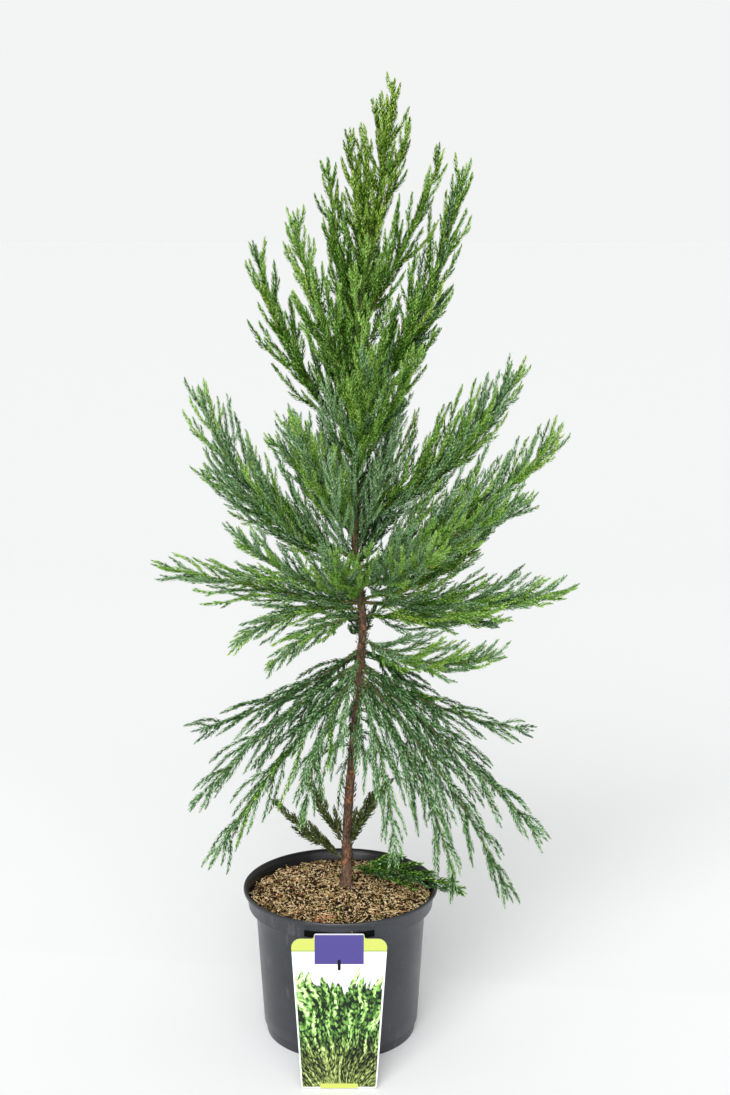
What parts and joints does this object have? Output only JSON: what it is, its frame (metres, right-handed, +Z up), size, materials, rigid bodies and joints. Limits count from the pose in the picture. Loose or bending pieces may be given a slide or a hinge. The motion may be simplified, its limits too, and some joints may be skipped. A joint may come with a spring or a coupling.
{
  "type": "potted Japanese cedar",
  "caption": "Young conical Japanese cedar with drooping lower boughs and upswept upper ones, standing in a round nursery pot of bark mix with a plain plant tag.",
  "frame": {"origin": "centre of the pot's flat underside, on the ground", "axes": "+Z is up, along the trunk. The tag hangs on the -Y side, which is the front, and +X is to the right when the plant is seen from the front."},
  "size_m": [0.4786, 0.3724, 1.0906],
  "materials": {
    "needles": "fresh green needles, blue-green on the lower boughs",
    "bark": "rough reddish-brown bark",
    "pot": "dark charcoal moulded plastic, satin",
    "potting_mix": "loose chips of bark and straw",
    "tag_card": "thin printed plastic card"
  },
  "bodies": {
    "root": {"crown_left_foliage": "needles", "crown_right_foliage": "needles", "foot_left_foliage": "needles", "foot_right_foliage": "needles", "foot_upright_foliage": "needles", "high_back_foliage": "needles", "high_front_foliage": "needles", "high_left_foliage": "needles", "high_left_front_foliage": "needles", "high_right_back_foliage": "needles", "high_right_foliage": "needles", "high_right_front_foliage": "needles", "leader_foliage": "needles", "low_back_foliage": "needles", "low_back_left_foliage": "needles", "low_back_right_foliage": "needles", "low_left_foliage": "needles", "low_left_front_foliage": "needles", "low_left_front_limb": "bark", "low_left_hanging_foliage": "needles", "low_left_sweep_foliage": "needles", "low_left_sweep_limb": "bark", "low_right_foliage": "needles", "low_right_front_foliage": "needles", "low_right_hanging_foliage": "needles", "low_right_hanging_limb": "bark", "low_right_inner_foliage": "needles", "low_right_sweep_foliage": "needles", "mid_back_foliage": "needles", "mid_back_left_foliage": "needles", "mid_front_foliage": "needles", "mid_left_back_foliage": "needles", "mid_left_fan_foliage": "needles", "mid_left_front_foliage": "needles", "mid_left_high_foliage": "needles", "mid_left_high_limb": "bark", "mid_left_long_foliage": "needles", "mid_left_long_limb": "bark", "mid_left_low_foliage": "needles", "mid_left_lowest_foliage": "needles", "mid_left_up_foliage": "needles", "mid_right_back_foliage": "needles", "mid_right_droop_foliage": "needles", "mid_right_front_foliage": "needles", "mid_right_high_foliage": "needles", "mid_right_high_limb": "bark", "mid_right_long_foliage": "needles", "mid_right_long_limb": "bark", "mid_right_low_foliage": "needles", "mid_right_low_limb": "bark", "mid_right_lowest_foliage": "needles", "mid_right_mid_foliage": "needles", "plant_tag": "tag_card", "pot": "pot", "potting_mix": "potting_mix", "rim_right_foliage": "needles", "top_back_foliage": "needles", "top_left_foliage": "needles", "top_right_foliage": "needles", "trunk": "bark"}
  },
  "joints": []
}
